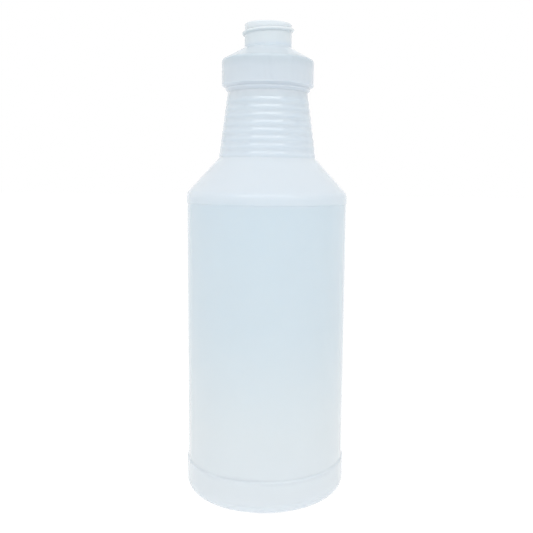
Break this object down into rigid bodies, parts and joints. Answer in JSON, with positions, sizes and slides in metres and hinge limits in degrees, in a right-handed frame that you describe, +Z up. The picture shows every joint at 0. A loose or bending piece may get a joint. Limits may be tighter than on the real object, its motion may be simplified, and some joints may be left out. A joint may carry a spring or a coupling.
{
  "type": "bottle",
  "caption": "Round natural plastic bottle with a long plain label panel, a ribbed tapering grip, a wide collar and a short threaded neck.",
  "frame": {"origin": "centre of the foot ring, on the ground", "axes": "+Z up along the bottle's axis, from the foot to the mouth; -Y towards the viewer of the picture; +X to the viewer's right"},
  "size_m": [0.0866, 0.0866, 0.2515],
  "materials": {
    "natural_plastic": "satin"
  },
  "bodies": {
    "root": {"bottle": "natural_plastic"}
  },
  "joints": []
}
